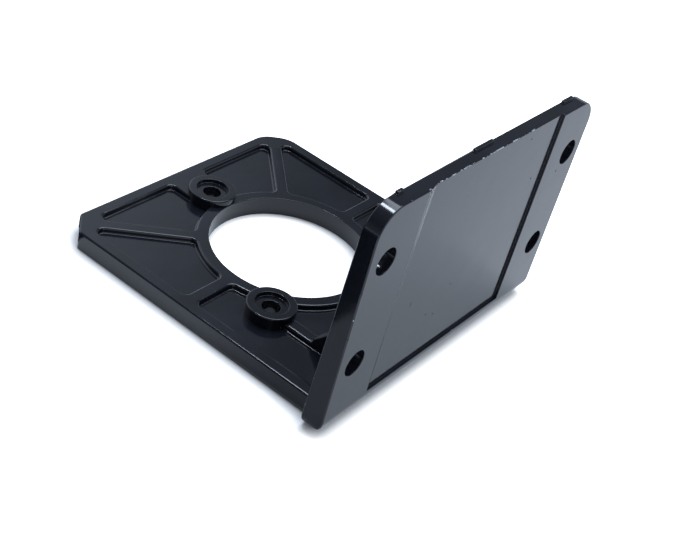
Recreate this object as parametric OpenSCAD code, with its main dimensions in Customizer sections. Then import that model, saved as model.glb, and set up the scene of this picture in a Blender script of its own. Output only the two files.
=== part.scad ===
// Encoder mounting bracket: a one-piece L casting in black.
// A ribbed plate carries the encoder by its pilot bore and three raised screw bosses,
// and a tapered upright fastens to the machine by four holes in two raised strips.
// Millimetres. The origin is on the pilot bore's axis, in the flat face that the encoder seats on
// and the bracket rests on: X runs along the fold, Y away from the upright, Z up.
// The modules are drawn from the upright's outer face at y = 0, and bracket() moves them.

/* [Encoder plate] */
// Width of the plate along the fold
plate_w = 59; // [56:0.5:62]
// Reach of the plate from the upright's outer face
plate_l = 63; // [61:0.5:72]
// Thickness of the plate over its rim and ribs
plate_t = 3.8; // [3:0.1:6]
// Leg of the chamfers at the plate's two far corners
plate_chamfer = 4; // [2:0.5:5]
// Radius at both ends of the chamfers
chamfer_r = 1; // [0.4:0.1:2]
// Depth of the pockets between the ribs
pocket_depth = 1; // [0.5:0.1:1.8]
// Width of the rim along the plate's edges
rim_w = 2.5; // [1.5:0.1:3]
// Width of the ring round the pilot bore
ring_w = 2.4; // [1.5:0.1:3]
// Width of the straight ribs
rib_w = 2.6; // [1.4:0.1:3]
// Radius in the pocket corners at the side rims and the ring
pocket_r = 1.2; // [0.5:0.1:1.6]
// Radius in the narrow pocket tips at the far corners
tip_r = 1.2; // [0.6:0.1:1.5]

/* [Encoder seat] */
// Diameter of the pilot bore, for a 30 mm encoder register
bore_d = 30.5; // [28:0.1:31]
// Distance of the bore's axis from the upright's outer face
bore_y = 34; // [33:0.5:36]
// Diameter of the circle that carries the three screw holes
screw_circle_d = 40; // [39.5:0.1:41]
// Diameter of the encoder screw holes
screw_d = 3.4; // [2.8:0.1:4.5]
// Diameter of the screw bosses
boss_d = 9.2; // [8:0.1:9.2]
// Height of the bosses above the ribs
boss_h = 1.2; // [0.4:0.1:3]
// Diameter of the spot face for the screw head
head_d = 6.2; // [5.5:0.1:7]
// Depth of the spot face
head_depth = 0.8; // [0.2:0.1:1.5]
// Width of the neck that ties the far boss to the rim
neck_w = 8.6; // [6:0.1:9]

/* [Upright] */
// Width of the upright
upright_w = 65; // [63:0.5:70]
// Height of the upright above the floor
upright_h = 44; // [42:0.5:60]
// Thickness of the upright at the floor
upright_t = 4.3; // [4:0.1:6]
// Thickness of the upright at its top edge
upright_tip_t = 2.9; // [2.4:0.1:3.9]
// Radius of the upper corners
top_corner_r = 5; // [2:0.5:6]
// Radius of the lower corners, where the upright overhangs the plate
foot_corner_r = 2.8; // [1:0.1:2.9]
// Radius along the outer bottom edge
foot_edge_r = 3.6; // [1:0.1:3.7]
// Radius in the fold between the pockets and the upright
fold_r = 1; // [0.5:0.1:3]

/* [Fixing face] */
// Distance of the fixing holes from the upright's side edges
hole_edge = 4.5; // [4:0.1:6]
// Pitch of the fixing holes up the wall
hole_pitch_z = 20; // [14:0.5:22]
// Height of the middle of the fixing holes
hole_mid_z = 24; // [22:0.5:26]
// Diameter of the fixing holes
hole_d = 4.8; // [4.3:0.1:5.6]
// Width of the raised strips that carry the fixing holes
strip_w = 12; // [10:0.5:16]
// Depth of the relief
relief_depth = 0.5; // [0.3:0.1:1.3]
// Height of the ledge at the relief's lower end
relief_z = 4; // [3.8:0.1:8]

/* [Gussets] */
// Reach of the gussets from the upright's outer face
gusset_l = 13.7; // [10:0.1:16]
// Height at which the gussets meet the upright
gusset_h = 15.2; // [10:0.1:24]
// Height of the blunt toe above the ribs
gusset_toe = 0.6; // [0.2:0.1:2]

/* [Casting marks] */
// Height of the trimmed gate stubs on the top edge
stub_h = 0.45; // [0.1:0.05:0.6]
// Depth of the stubs across the top edge
stub_depth = 0.7; // [0.5:0.1:1.5]
// Length of the middle stub
gate_l = 5.6; // [3:0.1:8]
// Length of the stub near the left corner
left_stub_l = 1.6; // [1:0.1:4]
// Length of the stub near the right corner
right_stub_l = 3.4; // [1:0.1:4]
// Distance of the left stub from the middle
left_stub_x = 25.5; // [15:0.1:26]
// Distance of the right stub from the middle
right_stub_x = 25.5; // [15:0.1:26]
// Distance of the middle stub from the middle, to the left
gate_x = 2.3; // [0:0.1:5]

/* [Hidden] */
$fn = 96;

// Overlap that seats one shape in another, and overrun of the cuts
seat = 0.5;
over = 2;

slab_t = plate_t - pocket_depth;
boss_top = plate_t + boss_h;
ring_r = bore_d / 2 + ring_w;
rim_x = plate_w / 2 - rim_w;
rim_y = plate_l - rim_w;
screw_r = screw_circle_d / 2;
// The two near bosses stand at this distance either side of the middle, over the gussets
gusset_x = screw_r * cos(30);
rib_diagonal = rib_w / sqrt(2);
draft = atan((upright_t - upright_tip_t) / upright_h);
hole_pitch_x = upright_w - 2 * hole_edge;
relief_w = upright_w - 2 * strip_w;

// Distance of the upright's inner face from its outer face, at height z
function inner_y(z) = upright_t - z * tan(draft);
function along(angle) = [cos(angle), sin(angle)];

module both_sides() {
    children();
    mirror([1, 0, 0]) children();
}

// Stands a drawing of (Y, Z) up and pulls it along X, about the middle
module along_fold(length) {
    rotate([90, 0, 90]) linear_extrude(length, center = true) children();
}

// The corner at p between two faces that leave it at the angles a and b, up to an arc that meets both:
// it fills an inner corner, or taken away it rounds an outer one
module corner_fill(p, a, b, r) {
    half = (b - a) / 2;
    reach = r / tan(half);
    centre = p + r / sin(half) * along(half + a);
    into_a = seat * along(a - 90);
    into_b = seat * along(b + 90);
    difference() {
        polygon([
            p + into_a + into_b,
            p + reach * along(a) + into_a,
            p + reach * along(a),
            centre,
            p + reach * along(b),
            p + reach * along(b) + into_b
        ]);
        translate(centre) circle(r);
    }
}

// Fills the corner between the ring and the upper face of a rib that runs out along +X
module ring_fill(r) {
    centre = [sqrt(pow(ring_r + r, 2) - pow(rib_w / 2 + r, 2)), rib_w / 2 + r];
    on_ring = centre * ring_r / (ring_r + r);
    difference() {
        polygon([
            [centre.x, rib_w / 2 - seat],
            [centre.x, rib_w / 2],
            centre,
            on_ring,
            on_ring * (1 - seat / ring_r),
            [on_ring.x - seat, rib_w / 2 - seat]
        ]);
        translate(centre) circle(r);
    }
}

// A straight rib from the ring outwards, filleted to it on both faces
module radial_rib(angle, length) {
    translate([0, bore_y]) rotate(angle) {
        translate([bore_d / 2 + seat, -rib_w / 2]) square([length, rib_w]);
        ring_fill(pocket_r);
        mirror([0, 1]) ring_fill(pocket_r);
    }
}

// Outline of the plate beyond the upright's rounded bottom edge, with its far corners cut off
module plate_outline() {
    side_x = plate_w / 2;
    cut_x = side_x - plate_chamfer;
    cut_y = plate_l - plate_chamfer;
    difference() {
        polygon([
            [-side_x, foot_edge_r],
            [side_x, foot_edge_r],
            [side_x, cut_y],
            [cut_x, plate_l],
            [-cut_x, plate_l],
            [-side_x, cut_y]
        ]);
        both_sides() {
            corner_fill([cut_x, plate_l], 180, 315, chamfer_r);
            corner_fill([side_x, cut_y], 135, 270, chamfer_r);
        }
    }
}

// Rim, ring, ribs and boss neck, which all stand at the plate's full thickness
module plate_walls() {
    intersection() {
        plate_outline();
        union() {
            both_sides() {
                translate([rim_x, 0]) square([rim_w + over, plate_l]);
                radial_rib(0, rim_x - bore_d / 2);
                corner_fill([rim_x, bore_y + rib_w / 2], 90, 180, pocket_r);
                corner_fill([rim_x, bore_y - rib_w / 2], 180, 270, pocket_r);
                radial_rib(45, sqrt(2) * rim_x - bore_d / 2 + rim_w);
                corner_fill([rim_y - bore_y - rib_diagonal, rim_y], 180, 225, tip_r);
                corner_fill([rim_x, bore_y + rim_x - rib_diagonal], 225, 270, tip_r);
                corner_fill([neck_w / 2, rim_y], 270, 360, pocket_r);
                translate([gusset_x - rib_w / 2, foot_edge_r])
                    square([rib_w, bore_y - screw_r / 2 - foot_edge_r]);
            }
            translate([-plate_w / 2, rim_y]) square([plate_w, rim_w + over]);
            translate([0, bore_y]) circle(ring_r);
            translate([-neck_w / 2, bore_y + screw_r]) square([neck_w, rim_y - bore_y - screw_r + seat]);
        }
    }
}

module at_encoder_screws() {
    translate([0, bore_y, 0])
        for (angle = [90, 210, 330])
            translate([screw_r * cos(angle), screw_r * sin(angle), 0])
                children();
}

module at_fixing_holes() {
    for (x = [-1, 1], z = [-1, 1])
        translate([x * hole_pitch_x / 2, 0, hole_mid_z + z * hole_pitch_z / 2])
            rotate([-90, 0, 0])
                children();
}

// Section of the upright: flat outside, drafted inside, rounded at its outer bottom edge
module upright_section() {
    difference() {
        polygon([[0, 0], [upright_t, 0], [upright_tip_t, upright_h], [0, upright_h]]);
        difference() {
            translate([-over, -over]) square(foot_edge_r + over);
            translate([foot_edge_r, foot_edge_r]) circle(foot_edge_r);
        }
    }
}

// Front view of the upright, with its four rounded corners
module upright_outline() {
    top_z = upright_h - top_corner_r;
    translate([-upright_w / 2, foot_corner_r]) square([upright_w, top_z - foot_corner_r]);
    translate([-upright_w / 2 + top_corner_r, top_z - seat])
        square([upright_w - 2 * top_corner_r, top_corner_r + seat]);
    translate([-upright_w / 2 + foot_corner_r, 0])
        square([upright_w - 2 * foot_corner_r, foot_corner_r + seat]);
    both_sides() {
        translate([upright_w / 2 - top_corner_r, top_z]) circle(top_corner_r);
        translate([upright_w / 2 - foot_corner_r, foot_corner_r]) circle(foot_corner_r);
    }
}

module upright_wall() {
    intersection() {
        along_fold(upright_w) upright_section();
        translate([0, upright_t + over, 0])
            rotate([90, 0, 0]) linear_extrude(upright_t + 2 * over) upright_outline();
    }
}

// Section of the fillet that blends the pocket floor into the upright's inner face
module fold_section() {
    centre = [upright_t + (fold_r - (slab_t + fold_r) * sin(draft)) / cos(draft), slab_t + fold_r];
    on_wall = centre - fold_r * along(draft);
    difference() {
        polygon([
            [foot_edge_r, slab_t - seat],
            [centre.x, slab_t - seat],
            [centre.x, slab_t],
            centre,
            on_wall,
            [foot_edge_r - seat, on_wall.y]
        ]);
        translate(centre) circle(fold_r);
    }
}

// Side view of a gusset: a blunt toe on the plate and a slope up to the upright
module gusset_section() {
    polygon([
        [foot_edge_r - seat, slab_t - seat],
        [gusset_l, slab_t - seat],
        [gusset_l, plate_t + gusset_toe],
        [inner_y(gusset_h), gusset_h],
        [inner_y(gusset_h) - seat, gusset_h]
    ]);
}

// A low stub left on the top edge where the casting was trimmed
module stub(x, length) {
    translate([x - length / 2, upright_tip_t - stub_depth, upright_h - seat])
        cube([length, stub_depth, stub_h + seat]);
}

module bracket() {
    color("#1c1d21")
    translate([0, -bore_y, 0])
    difference() {
        union() {
            linear_extrude(slab_t) plate_outline();
            linear_extrude(plate_t) plate_walls();
            at_encoder_screws() cylinder(d = boss_d, h = boss_top);
            upright_wall();
            along_fold(plate_w - 2 * rim_w + 2 * seat) fold_section();
            both_sides() translate([gusset_x, 0, 0]) along_fold(rib_w) gusset_section();
            stub(-left_stub_x, left_stub_l);
            stub(-gate_x, gate_l);
            stub(right_stub_x, right_stub_l);
        }
        translate([0, bore_y, -over]) cylinder(d = bore_d, h = boss_top + 2 * over);
        at_encoder_screws() {
            translate([0, 0, -over]) cylinder(d = screw_d, h = boss_top + 2 * over);
            translate([0, 0, boss_top - head_depth]) cylinder(d = head_d, h = head_depth + over);
        }
        at_fixing_holes()
            translate([0, 0, -over]) cylinder(d = hole_d, h = upright_t + 2 * over);
        translate([-relief_w / 2, -over, relief_z])
            cube([relief_w, relief_depth + over, upright_h]);
    }
}

bracket();
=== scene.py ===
import math

import bmesh
import bpy
import numpy as np
from mathutils import Matrix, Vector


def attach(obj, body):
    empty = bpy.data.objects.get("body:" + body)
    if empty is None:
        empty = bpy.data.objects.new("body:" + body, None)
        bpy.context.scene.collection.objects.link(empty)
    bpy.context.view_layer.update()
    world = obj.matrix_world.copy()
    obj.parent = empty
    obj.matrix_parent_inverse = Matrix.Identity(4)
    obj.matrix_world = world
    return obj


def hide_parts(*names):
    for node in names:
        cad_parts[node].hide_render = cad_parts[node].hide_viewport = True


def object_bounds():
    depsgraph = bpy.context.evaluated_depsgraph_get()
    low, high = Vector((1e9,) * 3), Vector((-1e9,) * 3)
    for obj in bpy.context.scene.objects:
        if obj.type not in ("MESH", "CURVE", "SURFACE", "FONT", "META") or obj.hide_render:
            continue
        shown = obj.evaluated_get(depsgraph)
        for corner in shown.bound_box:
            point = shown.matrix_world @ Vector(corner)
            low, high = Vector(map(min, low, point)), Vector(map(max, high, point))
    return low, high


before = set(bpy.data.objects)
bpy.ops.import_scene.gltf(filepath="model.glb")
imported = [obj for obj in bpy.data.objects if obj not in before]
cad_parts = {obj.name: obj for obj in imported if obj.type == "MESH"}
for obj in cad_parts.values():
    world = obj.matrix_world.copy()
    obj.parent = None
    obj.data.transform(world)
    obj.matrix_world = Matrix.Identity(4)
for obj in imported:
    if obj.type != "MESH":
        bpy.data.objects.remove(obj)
cad_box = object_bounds()


# Camera
# It stands at the photograph's viewing angle, fitted to the bracket's edges, bore and holes.
# It looks from +Y towards +X by the azimuth and down by the elevation, and rolls about that line.
MM = 0.001
camera_place = np.array((-167.85, -103.69, 140.14)) * MM
azimuth, elevation, roll = np.radians((61.914, 35.427, 16.316))
ahead = np.array((
    math.sin(azimuth) * math.cos(elevation),
    math.cos(azimuth) * math.cos(elevation),
    -math.sin(elevation),
))
level_right = np.array((math.cos(azimuth), -math.sin(azimuth), 0.0))
level_up = np.cross(level_right, ahead)
right = math.cos(roll) * level_right + math.sin(roll) * level_up
up = np.cross(right, ahead)
pose = np.eye(4)
pose[:3, 0], pose[:3, 1], pose[:3, 2], pose[:3, 3] = right, up, -ahead, camera_place

camera_data = bpy.data.cameras.new("camera")
camera_data.sensor_fit = "HORIZONTAL"
camera_data.sensor_width = 36.0
camera_data.lens = 66.26
camera_data.clip_start = 0.01
camera_data.clip_end = 20.0
camera = bpy.data.objects.new("camera", camera_data)
bpy.context.scene.collection.objects.link(camera)
camera.matrix_world = Matrix(pose)
bpy.context.scene.camera = camera


# Bracket casting
# One die-cast aluminium piece: a ribbed plate with a bored ring and screw bosses, and an upright.
# It was tumbled and painted, so each edge of the exact form is eased to a radius of its own, in mm.
def column(items, name, width=1, kind=float):
    """One property of all items of a mesh as an array, with a row for each item if it has parts."""
    values = np.zeros(len(items) * width, kind)
    items.foreach_get(name, values)
    return values.reshape(-1, width) if width > 1 else values


def edge_turns(mesh):
    """The turn across each edge in radians, and the edge's middle: the angle between the normals of
    its two faces, positive at an outer edge, where the second face falls away below the first, and
    negative in an inner corner."""
    loop_edge = column(mesh.loops, "edge_index", kind=int)
    loop_start = column(mesh.loops, "vertex_index", kind=int)
    corners = column(mesh.polygons, "loop_total", kind=int)
    normals = column(mesh.polygons, "normal", 3)
    ends = column(mesh.edges, "vertices", 2, int)
    points = column(mesh.vertices, "co", 3)

    loop_face = np.repeat(np.arange(len(corners)), corners)
    pair = np.argsort(loop_edge, kind="stable").reshape(-1, 2)
    first, second = normals[loop_face[pair[:, 0]]], normals[loop_face[pair[:, 1]]]
    start = loop_start[pair[:, 1]]
    end = ends.sum(1) - start
    into_second = np.cross(second, points[end] - points[start])
    angle = np.arccos(np.clip((first * second).sum(1), -1.0, 1.0))
    turn = np.where((first * into_second).sum(1) < 0.0, angle, -angle)
    return turn, points[ends].mean(1)


# The exact form's triangles are joined to whole faces. A point or an edge within this distance of a
# face of the bracket counts as lying on it.
near = 0.05
weld, flat_turn = 0.001 * MM, math.radians(0.2)
form = bmesh.new()
form.from_mesh(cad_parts["bracket"].data)
bmesh.ops.remove_doubles(form, verts=form.verts, dist=weld)
bmesh.ops.dissolve_limit(form, angle_limit=flat_turn, verts=form.verts, edges=form.edges)
bracket_mesh = bpy.data.meshes.new("painted_bracket")
form.to_mesh(bracket_mesh)
form.free()
points = column(bracket_mesh.vertices, "co", 3)

# The relief's left side is filed to a slope, widest at the top edge and running out downwards.
relief_x, relief_y, relief_z, top_z = 20.5, -33.5, 4.0, 44.0
slope_w = 1.9
filed = np.abs(points / MM - (-relief_x, relief_y, top_z)).max(1) < near
points[filed, 0] += slope_w * MM

# The plate's far right corner is rounded over: the arc at each end of its chamfer grows about the
# sharp corner that it rounds.
plate_x, plate_y, chamfer = 29.5, 29.0, 4.0
arc_reach, arc_growth = 0.5, 5.0
for corner in np.array(((plate_x - chamfer, plate_y), (plate_x, plate_y - chamfer))) * MM:
    arc = np.hypot(*(points[:, :2] - corner).T) < arc_reach * MM
    points[arc, :2] = corner + arc_growth * (points[arc, :2] - corner)
bracket_mesh.vertices.foreach_set("co", points.ravel())
bracket_mesh.update()

turn, middle = edge_turns(bracket_mesh)
x, y, z = (middle / MM).T
outer, inner = turn > 0.0, turn < 0.0
outer_edge_r, inner_corner_r, rib_edge_r, rib_top = 0.25, 0.3, 0.42, 3.8
eased = np.where(outer, outer_edge_r, inner_corner_r)
eased[outer & (np.abs(z - rib_top) < near)] = rib_edge_r

# Fixing holes, screw holes and spot faces are drilled, and keep a crisper edge.
hole_r, hole_x, hole_z, upright_y = 2.4, 28.0, (14.0, 34.0), -29.0
screw_circle_r, head_r, boss_r, bore_r = 20.0, 3.1, 4.6, 15.25
hole_edge_r, screw_edge_r, bore_edge_r = 0.12, 0.1, 0.13
from_hole = np.min([np.hypot(np.abs(x) - hole_x, z - height) for height in hole_z], axis=0)
eased[(from_hole < hole_r + near) & (y < upright_y)] = hole_edge_r
from_screw = np.min([
    np.hypot(x - screw_circle_r * math.cos(angle), y - screw_circle_r * math.sin(angle))
    for angle in np.radians((90.0, 210.0, 330.0))], axis=0)
eased[from_screw < head_r + near] = screw_edge_r

# Only 0.15 mm of the ring is left between a boss and the bore: the bore's edge keeps within that,
# and the foot of a boss stays sharp.
eased[np.abs(np.hypot(x, y) - bore_r) < near] = bore_edge_r
eased[inner & (np.abs(from_screw - boss_r) < near)] = 0.0

# The relief is a shallow step, and the trimmed gate stubs on the top edge stand less than half a
# millimetre high.
relief_edge_r, slope_edge_r, stub_edge_r, tight_corner_r = 0.12, 0.42, 0.18, 0.06
in_relief = (y < relief_y + near) & (np.abs(x) < relief_x + near) & (z > relief_z - near)
eased[in_relief] = np.where(outer, relief_edge_r, tight_corner_r)[in_relief]
left_side = (x < -0.5 * relief_x) & (z > relief_z + near) & (z < top_z - near)
eased[in_relief & outer & left_side] = slope_edge_r
eased[inner & (z > top_z - near)] = tight_corner_r
eased[z > top_z + near] = stub_edge_r

# The ends of the fold, and the corners where the plate's sides and rims run into the upright, are
# too tight to ease.
fold_y = -28.5
at_fold = (y < fold_y) & (z > near) & (z < rib_top + near) & (np.abs(x) < plate_x + near)
eased[inner & at_fold] = 0.0

eased_turn, widest = math.radians(25.0), float(eased.max())
weights = np.where(np.abs(turn) > eased_turn, eased / widest, 0.0)
attribute = bracket_mesh.attributes.new("bevel_weight_edge", "FLOAT", "EDGE")
attribute.data.foreach_set("value", weights.astype(np.float32))
bracket = bpy.data.objects.new("painted_bracket", bracket_mesh)
bpy.context.scene.collection.objects.link(bracket)
easing = bracket.modifiers.new("eased_edges", "BEVEL")
easing.limit_method = "WEIGHT"
easing.offset_type = "OFFSET"
easing.width = widest * MM
easing.segments = 3
easing.use_clamp_overlap = False
easing.loop_slide = False
easing.miter_outer = "MITER_ARC"


def settle(thing):
    """Carries out an object's modifiers for good: its mesh becomes that of the evaluated scene."""
    bpy.context.view_layer.update()
    evaluated = thing.evaluated_get(bpy.context.evaluated_depsgraph_get())
    thing.data = bpy.data.meshes.new_from_object(evaluated)
    thing.modifiers.clear()


def unfold(mesh):
    """Where an eased edge has pushed a thin face of a flat back over its neighbour, their common
    edge turns by half a turn: it is dissolved, and faces of one plane are joined to one face."""
    fold_turn, plane_turn = np.radians((175.0, 0.05))
    turned, _ = edge_turns(mesh)
    form = bmesh.new()
    form.from_mesh(mesh)
    form.edges.ensure_lookup_table()
    folded = [form.edges[i] for i in np.flatnonzero(np.abs(turned) > fold_turn)]
    bmesh.ops.dissolve_edges(form, edges=folded)
    bmesh.ops.dissolve_limit(
        form, angle_limit=plane_turn, verts=form.verts, edges=form.edges, delimit={"MATERIAL"})
    form.to_mesh(mesh)
    form.free()


def dent_cutter(places, radii, rings=10, spokes=16, swelling=0.2, seed=7):
    """Small rough balls: on a grid of polar and round angles, each point lies at the ball's middle
    plus its radius along each axis times the direction, swelled or shrunk at random."""
    polar = np.linspace(0.0, math.pi, rings + 1)[1:-1]
    turned = np.arange(spokes) * 2.0 * math.pi / spokes
    around = np.stack([
        np.outer(np.sin(polar), np.cos(turned)),
        np.outer(np.sin(polar), np.sin(turned)),
        np.outer(np.cos(polar), np.ones(spokes))], axis=2).reshape(-1, 3)
    around = np.concatenate([around, ((0.0, 0.0, 1.0), (0.0, 0.0, -1.0))])
    shape = (len(places), len(around), 1)
    swell = 1.0 + np.random.default_rng(seed).uniform(-swelling, swelling, shape)
    points = places[:, None, :] + radii[:, None, :] * around * swell

    row, spoke = np.meshgrid(np.arange(rings - 2), np.arange(spokes), indexing="ij")
    a, b = row * spokes + spoke, row * spokes + (spoke + 1) % spokes
    wall = np.stack([a, a + spokes, b, b, a + spokes, b + spokes], axis=2).reshape(-1, 3)
    last_ring, top, ring = (rings - 2) * spokes, (rings - 1) * spokes, np.arange(spokes)
    following = (ring + 1) % spokes
    caps = np.concatenate([
        np.stack([np.full(spokes, top), ring, following], axis=1),
        np.stack([np.full(spokes, top + 1), last_ring + following, last_ring + ring], axis=1)])
    faces = np.concatenate([wall, caps])
    faces = (np.arange(len(places))[:, None, None] * len(around) + faces).reshape(-1, 3)
    mesh = bpy.data.meshes.new("dents")
    mesh.from_pydata((points.reshape(-1, 3) * MM).tolist(), [], faces.tolist())
    return bpy.data.objects.new("dents", mesh)


# Knocks on the edges go through the paint to bare metal. The flat outer face has a few shallow pits
# and the left side's edges small nicks, all painted. A row is a dent's middle and its radii.
edge_knocks = np.array((
    (-20.6, -33.85, 44.1, 0.42, 0.24, 0.45),
    (-17.2, -33.5, 44.08, 0.45, 0.22, 0.22),
    (-11.7, -33.5, 44.08, 0.32, 0.2, 0.22),
    (-10.1, -33.5, 44.1, 0.5, 0.22, 0.26),
    (10.6, -33.5, 44.08, 0.6, 0.22, 0.26),
    (-32.5, -34.0, 24.8, 0.16, 0.16, 0.3),
))
painted_pits = np.array((
    (-14.1, -33.6, 18.8, 0.16, 0.17, 0.6),
    (-7.1, -33.6, 13.3, 0.32, 0.17, 0.28),
    (-4.4, -33.6, 12.1, 0.3, 0.17, 0.26),
    (-1.3, -33.6, 17.2, 0.3, 0.17, 0.26),
    (20.2, -33.6, 36.5, 0.3, 0.17, 0.26),
    (16.7, -33.6, 32.2, 0.3, 0.17, 0.26),
    (10.9, -33.6, 42.1, 0.3, 0.17, 0.26),
    (25.75, -34.1, 30.8, 0.3, 0.17, 0.26),
    (-32.5, -34.0, 29.7, 0.24, 0.24, 0.5),
    (-32.5, -34.0, 21.1, 0.22, 0.22, 0.34),
    (-32.5, -30.43, 22.9, 0.28, 0.3, 0.45),
))
PAINT, BARE_METAL = 0, 1
settle(bracket)
unfold(bracket.data)
rows = np.concatenate([edge_knocks, painted_pits])
dents = dent_cutter(rows[:, :3], rows[:, 3:])
bpy.context.scene.collection.objects.link(dents)
for name in ("semi_gloss_black_paint", "bare_aluminium"):
    bracket.data.materials.append(bpy.data.materials.new(name))
    dents.data.materials.append(bpy.data.materials[name])
lining = np.where(np.arange(len(rows)) < len(edge_knocks), BARE_METAL, PAINT)
lining = np.repeat(lining, len(dents.data.polygons) // len(rows)).astype(np.int32)
dents.data.polygons.foreach_set("material_index", lining)
cut = bracket.modifiers.new("dents", "BOOLEAN")
cut.operation, cut.solver, cut.object = "DIFFERENCE", "EXACT", dents
settle(bracket)
bpy.data.objects.remove(dents)

# The rims of the dents and the filed slope stay crisp, and no point stands outside the exact form's
# box by the cut's rounding.
unfold(bracket.data)
bracket_mesh = bracket.data
bracket_mesh.name = "painted_bracket"
points = np.clip(column(bracket_mesh.vertices, "co", 3), *np.array(cad_box))
bracket_mesh.vertices.foreach_set("co", points.ravel())
bracket_mesh.update()
bracket_mesh.shade_smooth()
turn, middle = edge_turns(bracket_mesh)
x, y, z = (middle / MM).T
on_slope = (x > -relief_x - near) & (x < -relief_x + slope_w + near)
on_slope &= (y < relief_y + near) & (z > relief_z + near)
crisp_turn, slope_turn = np.radians((40.0, 10.0))
crisp = (np.abs(turn) > crisp_turn) | (on_slope & (np.abs(turn) > slope_turn))
bracket_mesh.edges.foreach_set("use_edge_sharp", crisp)

# The narrow strips that round the upright's outer edges are marked as worn, for the paint to thin
# there. The relief's top edge is marked most: its pale metal line is partly wear and partly a
# painted highlight of the rounded edge. A strip's width is twice its area over its outline.
strip_w, strip_turn = 0.25, math.radians(22.0)
highlit_x, highlit_half_w, highlit_depth, highlit_h, highlit_more = -3.0, 15.0, 0.3, 0.5, 1.4
corners = column(bracket_mesh.polygons, "loop_total", kind=int)
area = column(bracket_mesh.polygons, "area")
loop_edge = column(bracket_mesh.loops, "edge_index", kind=int)
ends = column(bracket_mesh.edges, "vertices", 2, int)
length = np.linalg.norm(points[ends[:, 1]] - points[ends[:, 0]], axis=1)
first = np.cumsum(corners) - corners
width = 2.0 * area / np.add.reduceat(length[loop_edge], first)
most_turn = np.maximum.reduceat(turn[loop_edge], first)
x, y, z = np.add.reduceat(middle[loop_edge], first).T / corners / MM
wear_and_highlight = 1.0 * ((width < strip_w * MM) & (most_turn > strip_turn) & (y < fold_y))
# The band along the relief's top edge is marked more, which paints a highlight line there in pale
# metal.
highlit = np.abs(x - highlit_x) < highlit_half_w
wear_and_highlight[highlit & (y < relief_y + highlit_depth) & (z > top_z - highlit_h)] *= highlit_more
attribute = bracket_mesh.attributes.new("worn_and_highlit_edge", "FLOAT", "CORNER")
attribute.data.foreach_set("value", np.repeat(wear_and_highlight, corners).astype(np.float32))
flats = bracket.modifiers.new("true_flats", "WEIGHTED_NORMAL")
flats.mode = "FACE_AREA"
flats.weight = 100
flats.keep_sharp = True


# Semi-gloss black paint on the casting
# A stoved black enamel, sprayed on: near black with a cool cast, a soft mirror of what stands round
# it, and a faint orange peel.
def linear(code):
    """The linear colour of an sRGB hex code: each part is turned back from the display's curve."""
    parts = np.array([int(code[i:i + 2], 16) for i in (1, 3, 5)]) / 255.0
    return (*np.where(parts <= 0.04045, parts / 12.92, ((parts + 0.055) / 1.055) ** 2.4), 1.0)


def emptied(owner):
    """The node tree of a material or a world, switched on and cleared."""
    owner.use_nodes = True
    owner.node_tree.nodes.clear()
    return owner.node_tree


def add(tree, kind, settings=None, inputs=None):
    """Adds a node, sets its settings, and fills its inputs with numbers, colours or sockets."""
    node = tree.nodes.new(kind)
    for name, value in (settings or {}).items():
        setattr(node, name, value)
    for name, value in (inputs or {}).items():
        if isinstance(value, bpy.types.NodeSocket):
            tree.links.new(value, node.inputs[name])
        else:
            node.inputs[name].default_value = value
    return node


def maths(tree, operation, *values):
    """One sum on numbers or sockets."""
    return add(tree, "ShaderNodeMath", {"operation": operation}, dict(enumerate(values))).outputs[0]


def ramp(tree, value, start, end, low, high, kind="LINEAR"):
    """Runs from low to high while the value runs from start to end, and is held beyond them."""
    inputs = {"Value": value, "From Min": start, "From Max": end, "To Min": low, "To Max": high}
    return add(tree, "ShaderNodeMapRange", {"interpolation_type": kind}, inputs).outputs["Result"]


def noise(tree, place, grain_mm, detail, roughness):
    """A noise whose coarsest grains measure about the given millimetres."""
    inputs = {"Vector": place, "Scale": 1.0 / (grain_mm * MM),
              "Detail": detail, "Roughness": roughness}
    return add(tree, "ShaderNodeTexNoise", None, inputs).outputs["Fac"]


def blend(tree, factor, a, b, kind="RGBA"):
    """Goes from a to b as the factor goes from 0 to 1."""
    inputs = {"Factor": factor, "A": a, "B": b}
    return add(tree, "ShaderNodeMix", {"data_type": kind}, inputs).outputs["Result"]


peel_mm, wave_mm, wear_mm = 1.4, 6.0, 1.6
tree = emptied(bpy.data.materials["semi_gloss_black_paint"])
place = add(tree, "ShaderNodeTexCoord").outputs["Object"]
peel = noise(tree, place, peel_mm, 2.0, 0.4)
wave = noise(tree, place, wave_mm, 1.0, 0.4)
tone = blend(tree, wave, linear("#0f1116"), linear("#181a22"))
sheen = ramp(tree, wave, 0.3, 0.7, 0.1, 0.16)

# Thin spots on the outer edges show the metal: where the edge is worn and a fine noise runs high.
# Along the relief's top edge this metal line is partly wear and partly a painted highlight.
edge = add(tree, "ShaderNodeAttribute", {"attribute_name": "worn_and_highlit_edge"}).outputs["Fac"]
rubbed_and_highlit = maths(tree, "MULTIPLY", noise(tree, place, wear_mm, 4.0, 0.6), edge)
shown = ramp(tree, rubbed_and_highlit, 0.68, 0.76, 0.0, 1.0)
metal_roughness = 0.42
colour = blend(tree, shown, tone, linear("#bcbfc4"))
gloss = blend(tree, shown, sheen, metal_roughness, "FLOAT")
ripple = add(tree, "ShaderNodeBump", None,
             {"Strength": 0.5, "Distance": 0.05 * MM, "Height": wave})
grained = add(tree, "ShaderNodeBump", None,
              {"Strength": 0.25, "Distance": 0.02 * MM, "Height": peel,
               "Normal": ripple.outputs["Normal"]})
skin = add(tree, "ShaderNodeBsdfPrincipled", None,
           {"Base Color": colour, "Metallic": shown, "Roughness": gloss, "IOR": 1.5,
            "Normal": grained.outputs["Normal"]})
add(tree, "ShaderNodeOutputMaterial", None, {"Surface": skin.outputs["BSDF"]})

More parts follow.
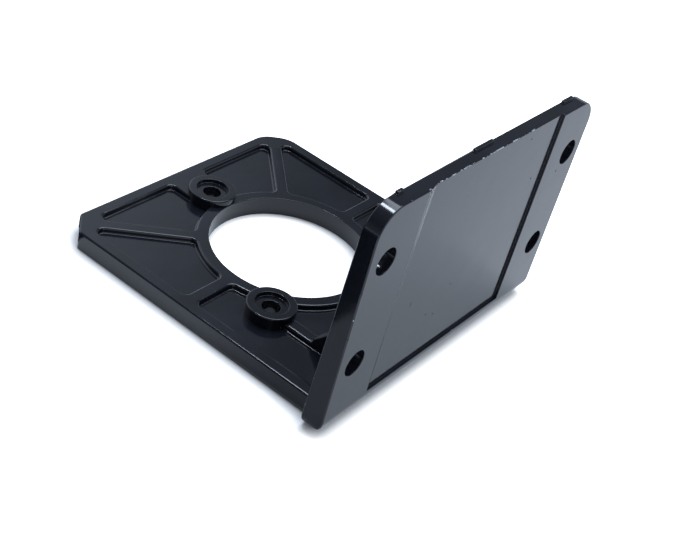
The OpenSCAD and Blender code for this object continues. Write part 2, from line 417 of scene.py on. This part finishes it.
# Bare die-cast aluminium in the knocks: pale grey, dull and uneven where it was struck.
struck_mm = 0.35
tree = emptied(bpy.data.materials["bare_aluminium"])
place = add(tree, "ShaderNodeTexCoord").outputs["Object"]
struck = noise(tree, place, struck_mm, 3.0, 0.6)
pale = blend(tree, struck, linear("#74787f"), linear("#c6c9ce"))
rough = add(tree, "ShaderNodeBump", None,
            {"Strength": 0.6, "Distance": 0.05 * MM, "Height": struck})
raw = add(tree, "ShaderNodeBsdfPrincipled", None,
          {"Base Color": pale, "Metallic": 1.0, "Roughness": 0.45,
           "Normal": rough.outputs["Normal"]})
add(tree, "ShaderNodeOutputMaterial", None, {"Surface": raw.outputs["BSDF"]})
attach(bracket, "root")
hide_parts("bracket")


# Floor and light
# A plain white table in soft studio light: a dim surround with two bright patches, and softboxes.
# A black card and a film lie on the table for mirrors only: they paint a dark surround and
# the table's shadow into what the paint reflects.
def sheet(name, outline_mm, height_mm, material):
    """A flat piece of the studio: one polygon through the given corners at the given height."""
    mesh = bpy.data.meshes.new(name)
    corners = [(along * MM, across * MM, height_mm * MM) for along, across in outline_mm]
    mesh.from_pydata(corners, [], [tuple(range(len(corners)))])
    mesh.materials.append(material)
    thing = bpy.data.objects.new(name, mesh)
    bpy.context.scene.collection.objects.link(thing)
    return thing


table = bpy.data.materials.new("white_table")
tree = emptied(table)
path = add(tree, "ShaderNodeLightPath")
mirrored = maths(
    tree, "MAXIMUM", path.outputs["Is Glossy Ray"], path.outputs["Is Transmission Ray"])
matt = add(tree, "ShaderNodeBsdfDiffuse", None, {"Color": linear("#e6e6e6")}).outputs[0]

# The camera's glow on the table carries a painted shadow, as if the table were lit from the right
# and the front: a soft one on the left, with a tight one at the foot. Each is the share of the near
# surroundings that stays open, and the first leans.
broad_mm, contact_mm = 8.0, 2.4
shadow_depth, glow = 1.6, 1.3
lean = add(tree, "ShaderNodeCombineXYZ", None, {"X": 0.45, "Y": -0.5, "Z": 0.74}).outputs["Vector"]
broad = add(tree, "ShaderNodeAmbientOcclusion", None, {"Distance": broad_mm * MM, "Normal": lean})
contact = add(tree, "ShaderNodeAmbientOcclusion", None, {"Distance": contact_mm * MM})
both = maths(tree, "MULTIPLY", broad.outputs["AO"], contact.outputs["AO"])
painted_shadow_strength = maths(tree, "MULTIPLY", maths(tree, "POWER", both, shadow_depth), glow)
shadowed_glow = add(tree, "ShaderNodeEmission", None, {"Strength": painted_shadow_strength})
cool_glow = add(tree, "ShaderNodeEmission", None, {"Color": linear("#dcebfa"), "Strength": 0.29})
to_camera = add(tree, "ShaderNodeAddShader", None, {0: matt, 1: shadowed_glow.outputs[0]})
to_mirror = add(tree, "ShaderNodeAddShader", None, {0: matt, 1: cool_glow.outputs[0]})
direct = add(tree, "ShaderNodeMixShader", None,
             {0: path.outputs["Is Camera Ray"], 1: matt, 2: to_camera.outputs[0]})
face = add(tree, "ShaderNodeMixShader", None,
           {0: mirrored, 1: direct.outputs[0], 2: to_mirror.outputs[0]})
add(tree, "ShaderNodeOutputMaterial", None, {"Surface": face.outputs[0]})
table_half = 1500.0
sheet("floor", [(-table_half, -table_half), (table_half, -table_half),
                (table_half, table_half), (-table_half, table_half)], 0.0, table)

# The black card is seen in reflections only, where it paints a dark surround into the paint on the
# left and far sides.
velvet = bpy.data.materials.new("black_velvet")
tree = emptied(velvet)
nap = add(tree, "ShaderNodeBsdfDiffuse", None, {"Color": linear("#0a0a0c")})
add(tree, "ShaderNodeOutputMaterial", None, {"Surface": nap.outputs[0]})
card_half, card_h = 400.0, 0.4
flag = sheet("black_card", [
    (-card_half, -17.4), (-56.0, -17.4), (-56.0, 26.5), (-29.0, 26.5), (-25.8, 29.3),
    (card_half, 29.3), (card_half, card_half), (-card_half, card_half)], card_h, velvet)
flag.visible_camera = flag.visible_diffuse = flag.visible_shadow = False

# The film is seen in reflections only, where it paints the table's shadow on the left into the
# paint, deepest towards the upright's left end.
film_x, film_y, film_h = (-80.0, -30.0), (-33.0, 3.0), 0.2
clear_y, dark_y, dark_share = 3.0, -22.0, 0.43
film = bpy.data.materials.new("smoked_film")
tree = emptied(film)
place = add(tree, "ShaderNodeTexCoord").outputs["Object"]
across = add(tree, "ShaderNodeSeparateXYZ", None, {"Vector": place}).outputs["Y"]
clear = ramp(tree, across, dark_y * MM, clear_y * MM, dark_share, 1.0, "SMOOTHSTEP")
reflected_shadow = add(tree, "ShaderNodeBsdfTransparent", None, {"Color": clear})
add(tree, "ShaderNodeOutputMaterial", None, {"Surface": reflected_shadow.outputs[0]})
shade = sheet("smoked_film", [(film_x[0], film_y[0]), (film_x[1], film_y[0]),
                              (film_x[1], film_y[1]), (film_x[0], film_y[1])], film_h, film)
shade.visible_camera = shade.visible_diffuse = shade.visible_shadow = False

# The surround falls off upwards and to the left, and the camera itself sees it as plain white.
surround = bpy.data.worlds.new("surround")
bpy.context.scene.world = surround
tree = emptied(surround)
seen = add(tree, "ShaderNodeLightPath").outputs["Is Camera Ray"]
outwards = add(tree, "ShaderNodeTexCoord").outputs["Generated"]
axes = add(tree, "ShaderNodeSeparateXYZ", None, {"Vector": outwards}).outputs
fall = ramp(tree, axes["Z"], 0.0, 0.4, 1.1, 0.22)
left = ramp(tree, axes["X"], -0.9, -0.3, 0.3, 1.0)
patches = []
for towards, rim, core, strength in (
        ((0.163, 0.925, 0.342), 0.68, 0.86, 0.8),
        ((0.0, -0.9, 0.42), 0.55, 0.85, 0.7)):
    facing = add(tree, "ShaderNodeVectorMath", {"operation": "DOT_PRODUCT"},
                 {0: outwards, 1: towards}).outputs["Value"]
    patches.append(ramp(tree, facing, rim, core, 0.0, strength, "SMOOTHSTEP"))
level = maths(tree, "MULTIPLY_ADD", fall, left, maths(tree, "ADD", *patches))
cool_light = linear("#e4efff")
dim = add(tree, "ShaderNodeBackground", None, {"Color": cool_light, "Strength": level})
bright = add(tree, "ShaderNodeBackground", None, {"Color": linear("#ffffff"), "Strength": 1.0})
sky = add(tree, "ShaderNodeMixShader", None, {0: seen, 1: dim.outputs[0], 2: bright.outputs[0]})
add(tree, "ShaderNodeOutputWorld", None, {"Surface": sky.outputs[0]})

# A wide softbox hangs overhead, and a small one draws the highlights. Both are square and face the
# bracket, and a lamp's power is its radiance times pi times its area.
for name, place_m, side_m, radiance in (
        ("softbox_overhead", (0.28, 0.05, 0.88), 0.64, 4.8),
        ("softbox_small", (0.011, 0.2, 0.554), 0.09, 26.0)):
    lamp_data = bpy.data.lights.new(name, "AREA")
    lamp_data.shape = "SQUARE"
    lamp_data.size = side_m
    lamp_data.color = cool_light[:3]
    lamp_data.energy = radiance * math.pi * side_m ** 2
    lamp = bpy.data.objects.new(name, lamp_data)
    bpy.context.scene.collection.objects.link(lamp)
    lamp.location = place_m
    lamp.rotation_mode = "QUATERNION"
    lamp.rotation_quaternion = lamp.location.to_track_quat("Z", "Y")
    lamp.visible_camera = False
bpy.context.scene.view_settings.view_transform = "Standard"
